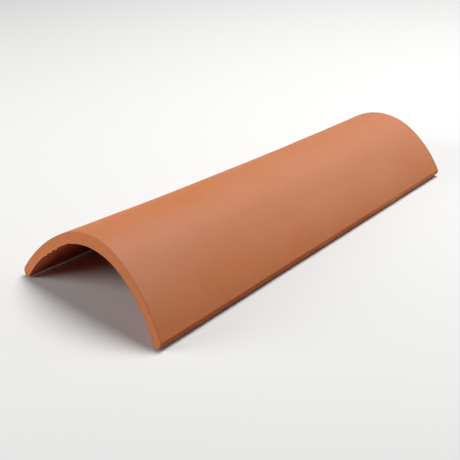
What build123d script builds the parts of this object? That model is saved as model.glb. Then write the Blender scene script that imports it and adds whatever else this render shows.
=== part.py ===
from build123d import *
import math
import os

# A tapered barrel roof tile: one slab of clay bent over a former into an arch, dried and fired on its feet.
# It lies along X with the wide end at -X and the narrow end at +X, its feet on Z = 0,
# and it is the same on both sides of Y = 0. Its length runs from the feet of the wide end
# to the crown of the narrow end.
length = 400.0

# Overall width, and height of the crown above the floor, at each cut end.
wide_width = 162.0
wide_height = 62.0
narrow_width = 133.0
narrow_height = 46.5

# A straight cut across the flat clay leans once the clay is bent into a taper:
# at both ends the crown lies this much further towards +X than the feet do.
wide_end_lean = 10.0
narrow_end_lean = 2.5

# The arch has three centres: a crown, and a flatter leg on each side that runs on from it smoothly.
# Both shares compare the crown with the plain arc that would span the same width and height:
# its radius, which is tighter at the wide end, and how far round the arch it goes.
wide_crown_radius_share = 0.81
narrow_crown_radius_share = 0.92
crown_turn_share = 0.41

# Wall at the crown, and how much tighter the hollow's crown is than the outside's, which thins the legs.
crown_wall = 10.5
hollow_radius_drop = 1.0

# Each foot is rounded over from the outside to its lowest line, which lies this far out from
# the crisp inner corner. Drying on a board presses the feet flat by a little.
foot_radius = 3.7
foot_land = 2.6
foot_flattening = 0.2


def crown_of(width, height, radius_share):
    """Radius of the crown's arc, and the angle that it spans to each side of the top."""
    half_span = width / 2
    plain_radius = (half_span**2 + height**2) / (2 * height)
    plain_turn = 2 * math.atan2(height, half_span)
    return plain_radius * radius_share, plain_turn * crown_turn_share


def end_of_crown(height, radius, turn):
    """Right-hand end of a crown's arc, and the direction in which the section goes on from there."""
    point = Vector(0, height - radius) + Vector(math.sin(turn), math.cos(turn)) * radius
    return point, Vector(math.cos(turn), -math.sin(turn))


def add_crown(height, radius, turn):
    """Arc over the top of the section that is being drawn, from one leg to the other."""
    half_angle = math.degrees(turn)
    CenterArc((0, height - radius), radius, 90 - half_angle, 2 * half_angle)


def outside(width, height, radius_share):
    """Outline of the barrel as if it were solid, before its feet are pressed flat."""
    radius, turn = crown_of(width, height, radius_share)
    shoulder, direction = end_of_crown(height, radius, turn)
    foot_centre = Vector(width / 2 - foot_radius, foot_radius)
    foot_bottom = Vector(foot_centre.X, 0)

    # The leg is the one arc that leaves the crown smoothly and runs smoothly into the foot's rounding.
    outward = Vector(-direction.Y, direction.X)
    reach = shoulder - foot_centre
    leg_radius = (reach.dot(reach) - foot_radius**2) / (2 * (outward.dot(reach) - foot_radius))
    leg_centre = shoulder - outward * leg_radius
    ankle = foot_centre + (foot_centre - leg_centre).normalized() * foot_radius

    with BuildSketch() as sketch:
        with BuildLine():
            leg = TangentArc(shoulder, ankle, tangent=direction)
            TangentArc(ankle, foot_bottom, tangent=leg % 1)
            mirror(about=Plane.YZ)
            add_crown(height, radius, turn)
            Line(foot_bottom, Vector(-foot_bottom.X, 0))
        make_face()
    return sketch.sketch


def hollow(width, height, radius_share):
    """Outline of the space under the arch, which comes down to a sharp inner corner at each foot."""
    radius, turn = crown_of(width, height, radius_share)
    hollow_height = height - crown_wall
    hollow_radius = radius - hollow_radius_drop
    shoulder, direction = end_of_crown(hollow_height, hollow_radius, turn)
    corner = Vector(width / 2 - foot_radius - foot_land, 0)
    with BuildSketch() as sketch:
        with BuildLine():
            TangentArc(shoulder, corner, tangent=direction)
            mirror(about=Plane.YZ)
            add_crown(hollow_height, hollow_radius, turn)
            Line(corner, Vector(-corner.X, 0))
        make_face()
    return sketch.sketch


def drawn_on_cut(outline, feet_x, lean, width, height, radius_share):
    """An outline on the plane of a cut end, which leans back from the feet at feet_x to the crown."""
    cut = Plane(origin=(feet_x, 0, 0), x_dir=(0, 1, 0), z_dir=(height, 0, -lean))
    slant_height = math.hypot(height, lean)
    as_formed_height = slant_height + foot_flattening
    return cut * Pos(0, -foot_flattening) * outline(width, as_formed_height, radius_share)


def tapered(outline):
    """An outline drawn out straight from the wide end to the narrow end, as formed, before drying."""
    wide_feet_x = -length / 2
    narrow_feet_x = length / 2 - narrow_end_lean
    wide = drawn_on_cut(
        outline, wide_feet_x, wide_end_lean, wide_width, wide_height, wide_crown_radius_share
    )
    narrow = drawn_on_cut(
        outline, narrow_feet_x, narrow_end_lean, narrow_width, narrow_height, narrow_crown_radius_share
    )
    return loft([wide, narrow], ruled=True)


as_formed = tapered(outside) - tapered(hollow)
tile = split(as_formed, bisect_by=Plane.XY, keep=Keep.TOP)

os.makedirs("parts", exist_ok=True)
export_step(tile, "parts/tile.step")
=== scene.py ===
import math

import bpy
from mathutils import Matrix, Vector


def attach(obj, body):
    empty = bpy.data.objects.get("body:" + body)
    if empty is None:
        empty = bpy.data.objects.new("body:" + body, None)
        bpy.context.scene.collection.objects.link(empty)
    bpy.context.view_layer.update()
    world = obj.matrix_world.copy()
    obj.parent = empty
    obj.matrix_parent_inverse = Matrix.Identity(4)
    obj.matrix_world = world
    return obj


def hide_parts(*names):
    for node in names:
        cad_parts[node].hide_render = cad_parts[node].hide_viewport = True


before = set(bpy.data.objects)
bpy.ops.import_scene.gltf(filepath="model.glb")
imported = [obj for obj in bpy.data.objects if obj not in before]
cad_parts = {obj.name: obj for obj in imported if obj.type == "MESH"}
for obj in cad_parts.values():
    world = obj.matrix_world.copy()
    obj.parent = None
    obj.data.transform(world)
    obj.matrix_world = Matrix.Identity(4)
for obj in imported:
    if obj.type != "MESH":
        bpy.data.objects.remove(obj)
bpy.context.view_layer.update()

# ---------------------------------------------------------------------------------------------------------
# Tile: a tapered barrel tile of red clay, one piece. A slab is cut off with a wire, bent over a former, dried
# standing on its feet and fired without a glaze. The firing lifts its ends a little; the wire leaves flat end
# faces and drags the clay into a small ragged lip along the inner arris.

# Sizes in metres, those of the part's solid, but with the feet rounded a little fuller,
# which makes the wide end 0.6 mm wider.
tile_sizes = {
    "Length": 0.400,
    "Wide Width": 0.1626,
    "Wide Height": 0.062,
    "Wide Lean": 0.010,
    "Narrow Width": 0.133,
    "Narrow Height": 0.0465,
    "Narrow Lean": 0.0025,
    "Crown Wall": 0.0105,
    "Hollow Radius Drop": 0.001,
    "Wide Foot Radius": 0.0046,
    "Narrow Foot Radius": 0.0043,
    "Foot Land": 0.0017,
    # Half the angle of the crease where the slab's cut edge begins.
    "Foot Crease": math.radians(10),
    # How far the ends of the crown stand above its middle, and what share of that is left in the feet.
    "End Curl": 0.0028,
    "Foot Curl Share": 0.4,
    "Arris Radius": 0.0004,
    # Height of the wire's lip on the end faces, and its ragged stretch above the wide end's left foot:
    # teeth of this pitch and depth, the first of them this far up the inner arris from the foot, and a chip.
    "Lip Height": 0.0003,
    "Teeth Pitch": 0.0086,
    "Teeth Depth": 0.0013,
    "First Tooth": 0.0374,
    "Last Tooth": 0.0546,
    "Chip": 0.0692,
    "Chip Depth": 0.0007,
    "Inner Arris Length": 0.0957,
    "Unevenness": 0.00015,
}
# The crown against the plain arc over the same width and height: its share of the radius, and of the turn.
crown_radius_shares = {"Wide": 0.81, "Narrow": 0.92}
crown_turn_share = 0.41


def crown_of(width, height, lean, radius_share):
    """Radius of the crown's arc at one end, and the angle that it spans to each side of the top."""
    slant_height = math.hypot(height, lean)
    plain_radius = ((width / 2) ** 2 + slant_height**2) / (2 * slant_height)
    plain_turn = 2 * math.atan2(slant_height, width / 2)
    return plain_radius * radius_share, plain_turn * crown_turn_share


for end, radius_share in crown_radius_shares.items():
    measures = [tile_sizes[end + name] for name in (" Width", " Height", " Lean")]
    radius, turn = crown_of(*measures, radius_share)
    tile_sizes[end + " Crown Radius"], tile_sizes[end + " Crown Turn"] = radius, turn


def add_node(tree, kind, *inputs, **settings):
    """Adds a node of a kind, or of kind.operation, with its settings.

    Its open inputs are given in order as values, nodes or sockets, or None to leave one as it is.
    """
    kind, _, operation = kind.partition(".")
    made = tree.nodes.new(kind)
    if operation:
        made.operation = operation
    for name, value in settings.items():
        setattr(made, name, value)
    open_sockets = [socket for socket in made.inputs if socket.enabled]
    for socket, value in zip(open_sockets, inputs):
        if isinstance(value, bpy.types.Node):
            value = next(output for output in value.outputs if output.enabled)
        if isinstance(value, bpy.types.NodeSocket):
            tree.links.new(value, socket)
        elif value is not None:
            socket.default_value = value
    return made


# Grid points along the tile and through its wall, grid steps from the crown to a foot, and the shares
# of those steps at which the crown's arc ends and, outside, the leg's.
points_along, points_through = 121, 13
steps_to_foot = 135
crown_end, leg_end = 45 / steps_to_foot, 118 / steps_to_foot
# Between these values nearly all of a noise texture lies.
noise_range = (0.3, 0.7)


def outline_tree():
    """Half of the arch's outline on a cut end: arcs for crown, leg and foot that run on from each other."""
    tree = bpy.data.node_groups.new("arch_outline_on_a_cut_end", "GeometryNodeTree")
    for name in (
        "Share",
        "Feet X",
        "Lean",
        "Height",
        "Width",
        "Crown Wall",
        "Crown Radius",
        "Crown Turn",
        "Foot Radius",
        "Leg End",
        "Foot Crease",
    ):
        tree.interface.new_socket(name, in_out="INPUT", socket_type="NodeSocketFloat")
    tree.interface.new_socket("Point", in_out="OUTPUT", socket_type="NodeSocketVector")
    given = add_node(tree, "NodeGroupInput").outputs
    share, crown_radius, crown_turn, foot_radius, crease = (
        given[name] for name in ("Share", "Crown Radius", "Crown Turn", "Foot Radius", "Foot Crease")
    )

    # Points on the cut are (0, across, up).
    def arc_point(centre, radius, turn):
        sine = add_node(tree, "ShaderNodeMath.SINE", turn)
        cosine = add_node(tree, "ShaderNodeMath.COSINE", turn)
        way = add_node(tree, "ShaderNodeCombineXYZ", 0, sine, cosine)
        return add_node(tree, "ShaderNodeVectorMath.MULTIPLY_ADD", way, radius, centre)

    upright = add_node(tree, "ShaderNodeCombineXYZ", given["Lean"], 0, given["Height"])
    slant = add_node(tree, "ShaderNodeVectorMath.LENGTH", upright)
    top = add_node(tree, "ShaderNodeMath.SUBTRACT", slant, given["Crown Wall"])
    crown_up = add_node(tree, "ShaderNodeMath.SUBTRACT", top, crown_radius)
    crown_centre = add_node(tree, "ShaderNodeCombineXYZ", 0, 0, crown_up)
    shoulder = arc_point(crown_centre, crown_radius, crown_turn)
    half_width = add_node(tree, "ShaderNodeMath.MULTIPLY", given["Width"], 0.5)
    foot_across = add_node(tree, "ShaderNodeMath.SUBTRACT", half_width, foot_radius)
    foot_centre = add_node(tree, "ShaderNodeCombineXYZ", 0, foot_across, foot_radius)

    # The leg is the one arc that leaves the crown smoothly and runs smoothly into the foot's rounding.
    reach = add_node(tree, "ShaderNodeVectorMath.SUBTRACT", shoulder, foot_centre)
    reach_squared = add_node(tree, "ShaderNodeVectorMath.DOT_PRODUCT", reach, reach)
    foot_squared = add_node(tree, "ShaderNodeMath.MULTIPLY", foot_radius, foot_radius)
    gap = add_node(tree, "ShaderNodeMath.SUBTRACT", reach_squared, foot_squared)
    outwards = add_node(tree, "ShaderNodeVectorMath.SUBTRACT", shoulder, crown_centre)
    outwards = add_node(tree, "ShaderNodeVectorMath.NORMALIZE", outwards)
    spread = add_node(tree, "ShaderNodeVectorMath.DOT_PRODUCT", outwards, reach)
    spread = add_node(tree, "ShaderNodeMath.SUBTRACT", spread, foot_radius)
    leg_radius = add_node(tree, "ShaderNodeMath.DIVIDE", gap, spread)
    leg_radius = add_node(tree, "ShaderNodeMath.MULTIPLY", leg_radius, 0.5)
    leg_reach = add_node(tree, "ShaderNodeVectorMath.SCALE", outwards, leg_radius)
    leg_centre = add_node(tree, "ShaderNodeVectorMath.SUBTRACT", shoulder, leg_reach)
    to_foot = add_node(tree, "ShaderNodeVectorMath.SUBTRACT", foot_centre, leg_centre)
    to_foot = add_node(tree, "ShaderNodeSeparateXYZ", to_foot).outputs
    leg_turn = add_node(tree, "ShaderNodeMath.ARCTAN2", to_foot["Y"], to_foot["Z"])

    # The crease: the leg goes on straight past the rounding, up to a flat that touches it further round.
    past_rounding = add_node(tree, "ShaderNodeMath.TANGENT", crease)
    past_rounding = add_node(tree, "ShaderNodeMath.MULTIPLY", past_rounding, foot_radius)
    past_rounding = add_node(tree, "ShaderNodeMath.DIVIDE", past_rounding, leg_radius)
    leg_stop = add_node(tree, "ShaderNodeMath.ADD", leg_turn, past_rounding)
    foot_start = add_node(tree, "ShaderNodeMath.ADD", leg_turn, crease)
    flat_stop = add_node(tree, "ShaderNodeMath.ADD", foot_start, crease)

    crown_now = add_node(tree, "ShaderNodeMapRange", share, 0, crown_end, 0, crown_turn)
    leg_now = add_node(tree, "ShaderNodeMapRange", share, crown_end, given["Leg End"], crown_turn, leg_stop)
    foot_now = add_node(tree, "ShaderNodeMapRange", share, given["Leg End"], 1, foot_start, math.pi)
    flat_left = add_node(tree, "ShaderNodeMath.SUBTRACT", flat_stop, foot_now)
    flat_left = add_node(tree, "ShaderNodeMath.MAXIMUM", flat_left, 0)
    flat_left = add_node(tree, "ShaderNodeMath.COSINE", flat_left)
    foot_reach = add_node(tree, "ShaderNodeMath.DIVIDE", foot_radius, flat_left)
    on_crown = arc_point(crown_centre, crown_radius, crown_now)
    on_leg = arc_point(leg_centre, leg_radius, leg_now)
    on_foot = arc_point(foot_centre, foot_reach, foot_now)
    past_crown = add_node(tree, "ShaderNodeMath.GREATER_THAN", share, crown_end)
    past_leg = add_node(tree, "ShaderNodeMath.GREATER_THAN", share, given["Leg End"])
    point = add_node(tree, "ShaderNodeMix", past_crown, on_crown, on_leg, data_type="VECTOR")
    point = add_node(tree, "ShaderNodeMix", past_leg, point, on_foot, data_type="VECTOR")

    # Laid over on to the cut, which leans by Lean over the tile's height.
    parts = add_node(tree, "ShaderNodeSeparateXYZ", point).outputs
    up = add_node(tree, "ShaderNodeMath.DIVIDE", parts["Z"], slant)
    leant = add_node(tree, "ShaderNodeVectorMath.SCALE", upright, up)
    flat = add_node(tree, "ShaderNodeCombineXYZ", given["Feet X"], parts["Y"], 0)
    point = add_node(tree, "ShaderNodeVectorMath.ADD", leant, flat)
    add_node(tree, "NodeGroupOutput", point)
    return tree


def tile_tree(skin, inner_skin, edge_skin, cut_clay):
    """A flat slab of grid points bent into the tapered arch, with its curl, arrises, lip and unevenness."""
    tree = bpy.data.node_groups.new("bent_clay_tile", "GeometryNodeTree")
    tree.interface.new_socket("Geometry", in_out="INPUT", socket_type="NodeSocketGeometry")
    tree.interface.new_socket("Geometry", in_out="OUTPUT", socket_type="NodeSocketGeometry")
    for name in [*tile_sizes, "Seed"]:
        tree.interface.new_socket(name, in_out="INPUT", socket_type="NodeSocketFloat")
    given = add_node(tree, "NodeGroupInput").outputs
    outline = outline_tree()

    # Grid points of the slab: along it, across the arch, and through the wall.
    slab = add_node(
        tree, "GeometryNodeMeshCube", (1, 1, 1), points_along, 2 * steps_to_foot + 1, points_through
    ).outputs["Mesh"]
    # Along runs from 0 at the wide end to 1 at the narrow one, with points drawn together towards both ends;
    # share from 0 at the crown to 1 at a foot; through from 0 under the arch, where points are closer, to 1
    # on top.
    spot = add_node(tree, "ShaderNodeSeparateXYZ", add_node(tree, "GeometryNodeInputPosition")).outputs
    swing = add_node(tree, "ShaderNodeMath.MULTIPLY", spot["X"], math.pi)
    swing = add_node(tree, "ShaderNodeMath.SINE", swing)
    along = add_node(tree, "ShaderNodeMath.MULTIPLY_ADD", swing, 0.5, 0.5)
    side = add_node(tree, "ShaderNodeMath.SIGN", spot["Y"])
    both_sides = add_node(tree, "ShaderNodeCombineXYZ", 1, side, 1)
    share = add_node(tree, "ShaderNodeMath.ABSOLUTE", spot["Y"])
    share = add_node(tree, "ShaderNodeMath.MULTIPLY", share, 2)
    through = add_node(tree, "ShaderNodeMath.ADD", spot["Z"], 0.5)
    through = add_node(tree, "ShaderNodeMath.POWER", through, 1.5)

    # Faces under the arch, on the slab's edges, and those that the wire cut.
    facing = add_node(tree, "ShaderNodeSeparateXYZ", add_node(tree, "GeometryNodeInputNormal")).outputs
    underneath = add_node(tree, "ShaderNodeMath.LESS_THAN", facing["Z"], -0.5)
    on_top = add_node(tree, "ShaderNodeMath.GREATER_THAN", facing["Z"], -0.5)
    on_edge = add_node(tree, "ShaderNodeMath.GREATER_THAN", share, leg_end)
    on_edge = add_node(tree, "ShaderNodeMath.MULTIPLY", on_edge, on_top)
    end_on = add_node(tree, "ShaderNodeMath.ABSOLUTE", facing["X"])
    end_on = add_node(tree, "ShaderNodeMath.GREATER_THAN", end_on, 0.5)
    store = "GeometryNodeStoreNamedAttribute"
    for name, chosen in (("under_arch", underneath), ("slab_edge", on_edge), ("wire_cut", end_on)):
        slab = add_node(tree, store, slab, None, name, chosen, data_type="BOOLEAN", domain="FACE")

    half_length = add_node(tree, "ShaderNodeMath.MULTIPLY", given["Length"], 0.5)
    wide_x = add_node(tree, "ShaderNodeMath.MULTIPLY", half_length, -1)
    narrow_x = add_node(tree, "ShaderNodeMath.SUBTRACT", half_length, given["Narrow Lean"])
    faces = {"outside": [], "hollow": []}
    end_sizes = (" Width", " Height", " Lean", " Crown Radius", " Crown Turn", " Foot Radius")
    for end, feet_x in (("Wide", wide_x), ("Narrow", narrow_x)):
        width, height, lean, crown_radius, crown_turn, foot_radius = (given[end + name] for name in end_sizes)
        foot_depth = add_node(tree, "ShaderNodeMath.ADD", foot_radius, given["Foot Land"])
        foot_depths = add_node(tree, "ShaderNodeMath.MULTIPLY", foot_depth, 2)
        hollow_width = add_node(tree, "ShaderNodeMath.SUBTRACT", width, foot_depths)
        hollow_radius = add_node(tree, "ShaderNodeMath.SUBTRACT", crown_radius, given["Hollow Radius Drop"])
        for face, values in (
            ("outside", (width, 0, crown_radius, crown_turn, foot_radius, leg_end, given["Foot Crease"])),
            ("hollow", (hollow_width, given["Crown Wall"], hollow_radius, crown_turn, 0, 1, 0)),
        ):
            drawn = add_node(tree, "GeometryNodeGroup", node_tree=outline)
            for socket, value in zip(drawn.inputs, (share, feet_x, lean, height, *values)):
                if isinstance(value, (int, float)):
                    socket.default_value = value
                else:
                    source = value.outputs[0] if isinstance(value, bpy.types.Node) else value
                    tree.links.new(source, socket)
            faces[face].append(drawn)
    outside = add_node(tree, "ShaderNodeMix", along, *faces["outside"], data_type="VECTOR")
    hollow = add_node(tree, "ShaderNodeMix", along, *faces["hollow"], data_type="VECTOR")
    wall_way = add_node(tree, "ShaderNodeVectorMath.SUBTRACT", outside, hollow)
    wall_way = add_node(tree, "ShaderNodeVectorMath.NORMALIZE", wall_way)

    # The outer arris of each end is dulled to a small quarter round.
    from_narrow = add_node(tree, "ShaderNodeMath.SUBTRACT", 1, along)
    from_end = add_node(tree, "ShaderNodeMath.MINIMUM", along, from_narrow)
    from_end = add_node(tree, "ShaderNodeMath.MULTIPLY", from_end, given["Length"])
    inset = add_node(tree, "ShaderNodeMapRange", from_end, 0, given["Arris Radius"], 1, 0)
    inset = add_node(tree, "ShaderNodeMath.MULTIPLY", inset, inset)
    inset = add_node(tree, "ShaderNodeMath.SUBTRACT", 1, inset)
    inset = add_node(tree, "ShaderNodeMath.SQRT", inset)
    inset = add_node(tree, "ShaderNodeMath.SUBTRACT", inset, 1)
    inset = add_node(tree, "ShaderNodeMath.MULTIPLY", inset, given["Arris Radius"])
    inset = add_node(tree, "ShaderNodeVectorMath.SCALE", wall_way, inset)
    outside = add_node(tree, "ShaderNodeVectorMath.ADD", outside, inset)

    # Teeth of clay that the wire left on the inner arris stand out into the hollow, each with a steep side
    # and a slow one, and past them the arris is chipped. Teeth and chip fade out over these shares of the
    # length and of the wall.
    fade_along, fade_through = 0.01, 0.15
    steep_share = 0.3
    teeth_run_in, teeth_run_out = 0.003, 0.006
    chip_run_in, chip_run_out = 0.0008, 0.006
    up_arris = add_node(tree, "ShaderNodeMath.SUBTRACT", 1, share)
    up_arris = add_node(tree, "ShaderNodeMath.MULTIPLY", up_arris, given["Inner Arris Length"])
    tooth = add_node(tree, "ShaderNodeMath.SUBTRACT", up_arris, given["First Tooth"])
    tooth = add_node(tree, "ShaderNodeMath.DIVIDE", tooth, given["Teeth Pitch"])
    tooth = add_node(tree, "ShaderNodeMath.FRACT", tooth)
    falling = add_node(tree, "ShaderNodeMapRange", tooth, 0, steep_share, 1, 0)
    rising = add_node(tree, "ShaderNodeMapRange", tooth, steep_share, 1, 0, 1)
    tooth = add_node(tree, "ShaderNodeMath.MAXIMUM", falling, rising)
    run_in = add_node(tree, "ShaderNodeMath.SUBTRACT", given["First Tooth"], teeth_run_in)
    run_out = add_node(tree, "ShaderNodeMath.ADD", given["Last Tooth"], teeth_run_out)
    starts = add_node(tree, "ShaderNodeMapRange", up_arris, run_in, given["First Tooth"], 0, 1)
    stops = add_node(tree, "ShaderNodeMapRange", up_arris, given["Last Tooth"], run_out, 1, 0)
    for part in (starts, stops, given["Teeth Depth"]):
        tooth = add_node(tree, "ShaderNodeMath.MULTIPLY", tooth, part)
    chip_start = add_node(tree, "ShaderNodeMath.SUBTRACT", given["Chip"], chip_run_in)
    chip_stop = add_node(tree, "ShaderNodeMath.ADD", given["Chip"], chip_run_out)
    chip = add_node(tree, "ShaderNodeMapRange", up_arris, chip_start, given["Chip"], 0, 1)
    chip_fades = add_node(tree, "ShaderNodeMapRange", up_arris, given["Chip"], chip_stop, 1, 0)
    for part in (chip_fades, given["Chip Depth"]):
        chip = add_node(tree, "ShaderNodeMath.MULTIPLY", chip, part)
    torn = add_node(tree, "ShaderNodeMath.SUBTRACT", chip, tooth)
    on_left = add_node(tree, "ShaderNodeMath.GREATER_THAN", spot["Y"], 0)
    at_wide_end = add_node(tree, "ShaderNodeMapRange", along, 0, fade_along, 1, 0)
    at_arris = add_node(tree, "ShaderNodeMapRange", through, 0, fade_through, 1, 0)
    for part in (on_left, at_wide_end, at_arris):
        torn = add_node(tree, "ShaderNodeMath.MULTIPLY", torn, part)
    torn = add_node(tree, "ShaderNodeVectorMath.SCALE", wall_way, torn)

    # The lip itself: a low ridge along the inner arris of each end face, with its top and its end at these
    # shares of the wall. At the arris it has this share of its height, and only the end faces carry it.
    ridge_top, ridge_end = 0.03, 0.14
    arris_share, face_depth = 0.3, 0.0001
    smooth = {"interpolation_type": "SMOOTHSTEP"}
    ridge = add_node(tree, "ShaderNodeMapRange", through, ridge_top, ridge_end, 1, 0, **smooth)
    ridge_foot = add_node(tree, "ShaderNodeMapRange", through, 0, ridge_top, arris_share, 1)
    on_end = add_node(tree, "ShaderNodeMapRange", from_end, 0, face_depth, 1, 0)
    outward = add_node(tree, "ShaderNodeMath.SIGN", spot["X"])
    for part in (ridge_foot, on_end, outward, given["Lip Height"]):
        ridge = add_node(tree, "ShaderNodeMath.MULTIPLY", ridge, part)
    lip = add_node(tree, "ShaderNodeCombineXYZ", ridge, 0, 0)

    bent = add_node(tree, "ShaderNodeMix", through, hollow, outside, data_type="VECTOR")
    bent = add_node(tree, "ShaderNodeVectorMath.ADD", bent, torn)
    bent = add_node(tree, "ShaderNodeVectorMath.ADD", bent, lip)
    bent = add_node(tree, "ShaderNodeVectorMath.MULTIPLY", bent, both_sides)

    # The curl: the crown's ends stand up, the feet's less, and the line above each foot's rounding,
    # which the former keeps straight, not at all. The feet stay on the floor halfway along.
    # Up to this share of the way to a foot the arch sags as much as its crown.
    crown_sags_to = 0.45
    half_way = add_node(tree, "ShaderNodeMath.MULTIPLY_ADD", along, 2, -1)
    sag = add_node(tree, "ShaderNodeMath.MULTIPLY", half_way, half_way)
    sag = add_node(tree, "ShaderNodeMath.SUBTRACT", 1, sag)
    sag_outside = add_node(tree, "ShaderNodeMapRange", share, crown_sags_to, leg_end, 1, 0, **smooth)
    sag_foot = add_node(tree, "ShaderNodeMapRange", share, leg_end, 1, 0, given["Foot Curl Share"])
    sag_outside = add_node(tree, "ShaderNodeMath.ADD", sag_outside, sag_foot)
    sag_hollow = add_node(tree, "ShaderNodeMapRange", share, crown_sags_to, 1, 1, given["Foot Curl Share"])
    sag_share = add_node(tree, "ShaderNodeMix", through, sag_hollow, sag_outside, data_type="FLOAT")
    sag = add_node(tree, "ShaderNodeMath.MULTIPLY", sag, sag_share)
    lift = add_node(tree, "ShaderNodeMath.SUBTRACT", given["Foot Curl Share"], sag)
    lift = add_node(tree, "ShaderNodeMath.MULTIPLY", lift, given["End Curl"])
    lift = add_node(tree, "ShaderNodeCombineXYZ", 0, 0, lift)
    bent = add_node(tree, "ShaderNodeVectorMath.ADD", bent, lift)

    # Slow unevenness of a hand-fed slab, about 60 mm from wave to wave and the same through the wall.
    waves_per_metre = 18
    noise_at = add_node(tree, "ShaderNodeVectorMath.ADD", bent, given["Seed"])
    wave = add_node(tree, "ShaderNodeTexNoise", noise_at, waves_per_metre, 1, 0.5)
    wave = add_node(tree, "ShaderNodeMapRange", wave.outputs[0], *noise_range, -1, 1)
    wave = add_node(tree, "ShaderNodeMath.MULTIPLY", wave, given["Unevenness"])
    wave_way = add_node(tree, "ShaderNodeVectorMath.MULTIPLY", wall_way, both_sides)
    wave = add_node(tree, "ShaderNodeVectorMath.SCALE", wave_way, wave)
    bent = add_node(tree, "ShaderNodeVectorMath.ADD", bent, wave)

    # How near a point is to the open ends, for painted light: along the lip of the cut faces a painted
    # highlight, and under the arch a paler colour that fades 25 mm into the hollow, painted light that falls
    # in.
    # And how near it is to the outer arris, for the legs only. Through the wall they stop at these shares.
    painted_light_reach, arris_reach = 0.025, 0.0008
    painted_light_stop, arris_start = 0.13, 0.9
    painted_light_near_ends = add_node(tree, "ShaderNodeMapRange", through, ridge_top, painted_light_stop, 1, 0)
    near_arris = add_node(tree, "ShaderNodeMapRange", through, arris_start, 1, 0, 1)
    near_end = add_node(tree, "ShaderNodeMapRange", from_end, 0, arris_reach, 1, 0)
    near_air = add_node(tree, "ShaderNodeMapRange", from_end, 0, painted_light_reach, 1, 0)
    painted_light_near_ends = add_node(tree, "ShaderNodeMath.MULTIPLY", painted_light_near_ends, near_air)
    on_leg = add_node(tree, "ShaderNodeMapRange", share, 0.25, 0.5, 0, 1)
    for part in (near_end, on_leg):
        near_arris = add_node(tree, "ShaderNodeMath.MULTIPLY", near_arris, part)
    for name, nearness in (("lip", painted_light_near_ends), ("arris", near_arris)):
        slab = add_node(tree, store, slab, None, name, nearness, data_type="FLOAT", domain="POINT")
    tile_mesh = add_node(tree, "GeometryNodeSetPosition", slab, None, bent)
    crisp_angle = math.radians(40)
    edge_angle = add_node(tree, "GeometryNodeInputMeshEdgeAngle").outputs["Unsigned Angle"]
    soft = add_node(tree, "ShaderNodeMath.LESS_THAN", edge_angle, crisp_angle)
    tile_mesh = add_node(tree, "GeometryNodeSetShadeSmooth", tile_mesh, None, soft, domain="EDGE")
    tile_mesh = add_node(tree, "GeometryNodeRealizeInstances", tile_mesh)
    tile_mesh = add_node(tree, "GeometryNodeSetMaterial", tile_mesh, None, skin)
    for name, clay in (("under_arch", inner_skin), ("slab_edge", edge_skin), ("wire_cut", cut_clay)):
        chosen = add_node(tree, "GeometryNodeInputNamedAttribute", name, data_type="BOOLEAN")
        tile_mesh = add_node(tree, "GeometryNodeSetMaterial", tile_mesh, chosen, clay)
    add_node(tree, "NodeGroupOutput", tile_mesh)
    return tree


def linear(colour):
    """A colour written as sRGB hex, as the linear values that a shader works with."""
    shares = [int(colour[i : i + 2], 16) / 255 for i in (1, 3, 5)]
    return tuple(s / 12.92 if s <= 0.04045 else ((s + 0.055) / 1.055) ** 2.4 for s in shares) + (1.0,)


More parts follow.
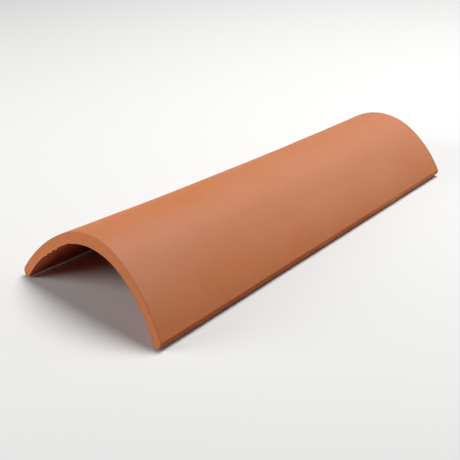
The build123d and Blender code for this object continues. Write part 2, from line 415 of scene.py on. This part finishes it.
def fired_clay(name, low_colour, high_colour, painted_light_colour, roughness, gloss, grain_depth):
    """Unglazed fired red clay with random clouds, mottles and sandy grain, and painted light and shade: one
    colour low down and at the wide end, another higher up and at the narrow end, and a paler one near the
    open ends.
    """
    made = bpy.data.materials.new(name)
    made.use_nodes = True
    tree = made.node_tree
    shader = tree.nodes["Principled BSDF"]
    place = add_node(tree, "ShaderNodeTexCoord").outputs["Object"]

    # Painted light and shade: higher up and towards the narrow end the colour goes to the high one. On the
    # outer skin that is paler and pinker, a painted sheen of the overhead light and painted light from the
    # narrow end.
    # Random clouds of the clay's own tone, about 80 mm apart, are added to it.
    clouds_per_metre = 12
    spot = add_node(tree, "ShaderNodeSeparateXYZ", place).outputs
    painted_light_and_clouds = add_node(tree, "ShaderNodeMapRange", spot["Z"], 0.005, 0.045, 0, 0.8)
    painted_light_along = add_node(tree, "ShaderNodeMapRange", spot["X"], -0.2, 0.2, -0.3, 0.3)
    painted_light_and_clouds = add_node(tree, "ShaderNodeMath.ADD", painted_light_and_clouds, painted_light_along)
    cloud = add_node(tree, "ShaderNodeTexNoise", place, clouds_per_metre, 3, 0.5).outputs[0]
    cloud = add_node(tree, "ShaderNodeMapRange", cloud, *noise_range, -0.4, 0.4)
    painted_light_and_clouds = add_node(tree, "ShaderNodeMath.ADD", painted_light_and_clouds, cloud, use_clamp=True)
    body = add_node(tree, "ShaderNodeMix", painted_light_and_clouds, linear(low_colour), linear(high_colour), data_type="RGBA")
    # Painted light: near the open ends the colour goes to a paler one. This is a painted highlight along the
    # lip of the cut faces and painted light falling into the hollow.
    lip = add_node(tree, "ShaderNodeAttribute", attribute_name="lip").outputs["Fac"]
    body = add_node(tree, "ShaderNodeMix", lip, body, linear(painted_light_colour), data_type="RGBA")

    # Soft mottles of unevenly mixed clay, about 7 mm apart.
    mottles_per_metre = 150
    mottle = add_node(tree, "ShaderNodeTexNoise", place, mottles_per_metre, 2, 0.5).outputs[0]
    mottle = add_node(tree, "ShaderNodeMapRange", mottle, *noise_range, 0.98, 1.02)
    body = add_node(tree, "ShaderNodeVectorMath.SCALE", body, mottle)

    # Grains of fine sand, really 0.3 mm and drawn at about 1 mm so that they show at all.
    grains_per_metre = 900
    grain = add_node(tree, "ShaderNodeTexNoise", place, grains_per_metre, 2, 0.6).outputs[0]
    fleck = add_node(tree, "ShaderNodeMapRange", grain, *noise_range, 0.95, 1.05)
    body = add_node(tree, "ShaderNodeVectorMath.SCALE", body, fleck)
    # Darker by up to 15% along the outer arris of the legs, near the ends.
    arris = add_node(tree, "ShaderNodeAttribute", attribute_name="arris").outputs["Fac"]
    arris = add_node(tree, "ShaderNodeMapRange", arris, 0, 1, 1, 0.85)
    body = add_node(tree, "ShaderNodeVectorMath.SCALE", body, arris)
    bump = add_node(tree, "ShaderNodeBump", 1.0, grain_depth, 0.1, grain)
    tree.links.new(body.outputs[0], shader.inputs["Base Color"])
    tree.links.new(bump.outputs[0], shader.inputs["Normal"])
    shader.inputs["Roughness"].default_value = roughness
    shader.inputs["IOR"].default_value = 1.5
    shader.inputs["Specular IOR Level"].default_value = gloss
    return made


# The outer skin, which the drying air closed: matt, with a faint broad sheen. Its colour is painted paler and
# pinker higher up and towards the narrow end, as painted sheen and painted light.
skin = fired_clay(
    "fired_terracotta_skin", "#BA6D3E", "#BA7651", "#BA7651", roughness=0.6, gloss=0.35, grain_depth=0.0001
)
# The wire's cut opens the clay: more orange and rougher, and painted paler along the lip, a painted
# highlight.
cut_clay = fired_clay(
    "wire_cut_terracotta", "#BA6E42", "#BA6E42", "#C07A54", roughness=0.85, gloss=0.2, grain_depth=0.0002
)
# Under the arch the clay is painted dark and red, painted shade of the hollow. It is a little darker higher
# up and towards the narrow end, and painted paler near its open ends for the light that falls in.
inner_skin = fired_clay(
    "terracotta_under_the_arch", "#9C422A", "#943D28", "#CC643C", roughness=0.8, gloss=0.2, grain_depth=0.0001
)
# The slab's edges, the strip below each leg's crease: painted dark, painted shade of a face that looks down,
# and painted paler towards the narrow end for the light from that end.
edge_skin = fired_clay(
    "terracotta_on_the_edges", "#AD572D", "#D08A58", "#AD572D", roughness=0.8, gloss=0.2, grain_depth=0.0001
)

unevenness_seed = 7.0
grower = bpy.data.objects.new("tile_grower", bpy.data.meshes.new("tile_grower"))
bpy.context.scene.collection.objects.link(grower)
bend = grower.modifiers.new("bend", "NODES")
bend.node_group = tile_tree(skin, inner_skin, edge_skin, cut_clay)
for socket in bend.node_group.interface.items_tree:
    if socket.name in tile_sizes:
        bend[socket.identifier] = tile_sizes[socket.name]
    elif socket.name == "Seed":
        bend[socket.identifier] = unevenness_seed
view = bpy.context.evaluated_depsgraph_get()
tile_mesh = bpy.data.meshes.new_from_object(grower.evaluated_get(view), depsgraph=view)
bpy.data.objects.remove(grower)
# The grid comes with one empty material slot of its own.
tile_mesh.materials.pop(index=0)
tile = bpy.data.objects.new("clay_tile", tile_mesh)
bpy.context.scene.collection.objects.link(tile)
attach(tile, "root")
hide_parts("tile")

# ---------------------------------------------------------------------------------------------------------
# Floor: a sheet of pale, matt studio paper that fills the view. It lies as low as the lowest point of the
# tile's feet, and is stage only.

floor_z = min(vertex.co.z for vertex in tile_mesh.vertices)
floor_reach = 6.0
corners = [(x * floor_reach, y * floor_reach, floor_z) for x, y in ((-1, -1), (1, -1), (1, 1), (-1, 1))]
floor_mesh = bpy.data.meshes.new("floor")
floor_mesh.from_pydata(corners, [], [(0, 1, 2, 3)])
floor = bpy.data.objects.new("floor", floor_mesh)
bpy.context.scene.collection.objects.link(floor)
paper = bpy.data.materials.new("pale_studio_paper")
paper.use_nodes = True
paper_shader = paper.node_tree.nodes["Principled BSDF"]
paper_shader.inputs["Base Color"].default_value = linear("#DCDCDB")
paper_shader.inputs["Roughness"].default_value = 0.9
paper_shader.inputs["Specular IOR Level"].default_value = 0.1
floor_mesh.materials.append(paper)

# ---------------------------------------------------------------------------------------------------------
# Light: a dark room with three round soft boxes, a strong one overhead, a low one off the wide end and a weak
# one on the right. Each has its turn and rise in degrees, distance in metres and power in watts.

room = bpy.data.worlds.new("dark_room")
room.use_nodes = True
room.node_tree.nodes["Background"].inputs["Strength"].default_value = 0.0
bpy.context.scene.world = room
bpy.context.scene.view_settings.view_transform = "Standard"

for name, turn, rise, distance, power in (
    ("soft_box_overhead", 0, 70, 1.5, 27.7),
    ("soft_box_off_the_wide_end", 143, 15, 1.5, 18.6),
    ("soft_box_on_the_right", 326, 22, 1.1, 2.5),
):
    turn, rise = math.radians(turn), math.radians(rise)
    way = Vector((math.cos(turn) * math.cos(rise), math.sin(turn) * math.cos(rise), math.sin(rise)))
    lamp = bpy.data.lights.new(name, "AREA")
    lamp.shape = "DISK"
    lamp.size = 1.0
    lamp.energy = power
    box = bpy.data.objects.new(name, lamp)
    box.location = way * distance
    box.rotation_euler = (-way).to_track_quat("-Z", "Y").to_euler()
    bpy.context.scene.collection.objects.link(box)

# ---------------------------------------------------------------------------------------------------------
# Camera: level, above the tile and off its wide end, with a long lens. It looks along its azimuth and
# elevation at a target in the tile's middle, and is shifted a little to the left and down.

azimuth, elevation = math.radians(-47.384), math.radians(28.316)
target = Vector((0, 0, 0.0333))
distance, shift_left, shift_down = 0.8893, 0.02466, 0.03547
back = Vector(
    (math.sin(azimuth) * math.cos(elevation), -math.cos(azimuth) * math.cos(elevation), math.sin(elevation))
)
right = Vector((math.cos(azimuth), math.sin(azimuth), 0))
up = back.cross(right)
place = target + back * distance - right * shift_left - up * shift_down
lens = bpy.data.cameras.new("camera")
lens.lens = 77.826
camera = bpy.data.objects.new("camera", lens)
camera.matrix_world = Matrix.Translation(place) @ Matrix((right, up, back)).transposed().to_4x4()
bpy.context.scene.collection.objects.link(camera)
bpy.context.scene.camera = camera
